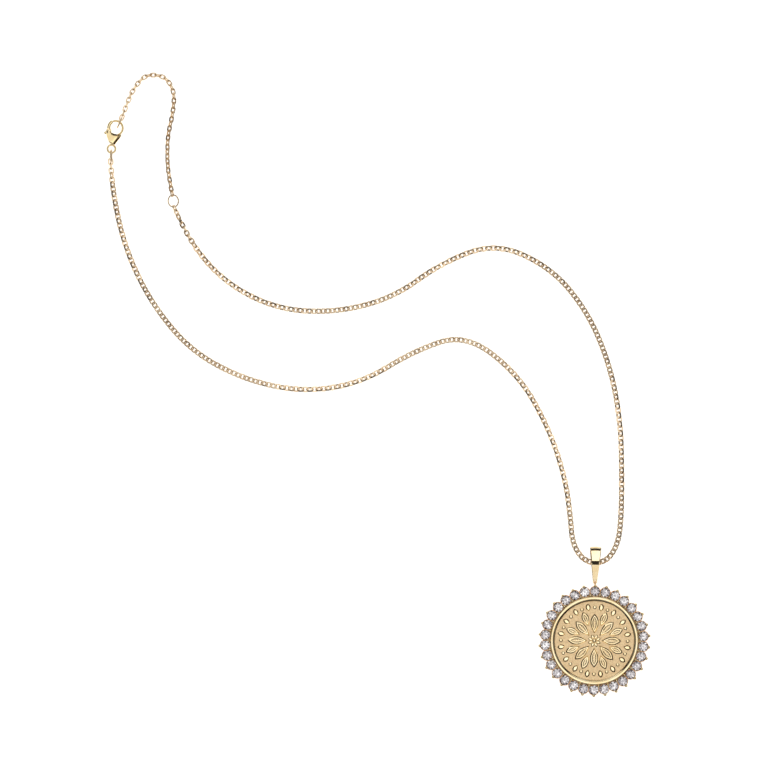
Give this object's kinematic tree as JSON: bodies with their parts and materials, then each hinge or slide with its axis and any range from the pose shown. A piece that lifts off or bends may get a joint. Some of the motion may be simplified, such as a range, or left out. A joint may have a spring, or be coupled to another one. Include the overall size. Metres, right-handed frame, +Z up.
{
  "type": "medallion pendant",
  "caption": "Round medallion pendant with a halo of prong-set brilliants on a tapered bail, on a fine link chain with a lobster clasp and an adjusting ring.",
  "frame": {"origin": "centre of the medallion on the flat back it lies on", "axes": "+Z up from the surface through the medallion's face, +Y from the medallion along the bail, +X to the right when facing the medallion"},
  "size_m": [0.1416, 0.1582, 0.0034],
  "materials": {
    "matte_gold": "sandblasted gold plating",
    "polished_gold": "polished gold plating",
    "stone": "cut and polished"
  },
  "bodies": {
    "root": {"adjuster_ring": "polished_gold", "bail": "polished_gold", "chain_left": "polished_gold", "chain_right": "polished_gold", "clasp_body": "polished_gold", "clasp_pin": "polished_gold", "clasp_ring": "polished_gold", "end_ring": "polished_gold", "extender_chain": "polished_gold", "halo_setting": "polished_gold", "medallion_plate": "matte_gold", "stone_01": "stone", "stone_02": "stone", "stone_03": "stone", "stone_04": "stone", "stone_05": "stone", "stone_06": "stone", "stone_07": "stone", "stone_08": "stone", "stone_09": "stone", "stone_10": "stone", "stone_11": "stone", "stone_12": "stone", "stone_13": "stone", "stone_14": "stone", "stone_15": "stone", "stone_16": "stone", "stone_17": "stone", "stone_18": "stone", "stone_19": "stone", "stone_20": "stone", "stone_21": "stone", "stone_22": "stone", "stone_23": "stone", "stone_24": "stone", "stone_25": "stone", "stone_26": "stone", "stone_27": "stone", "stone_28": "stone", "stone_29": "stone", "stone_30": "stone"},
    "lever": {"clasp_lever": "polished_gold"}
  },
  "joints": [
    {"name": "clasp_lever_hinge", "type": "hinge", "parent": "root", "child": "lever", "pos_m": [-0.12577, 0.12863, 0.001], "axis": [0, 0, -1], "range_deg": [0, 25], "stiffness_Nm_per_rad": 0.0003}
  ]
}
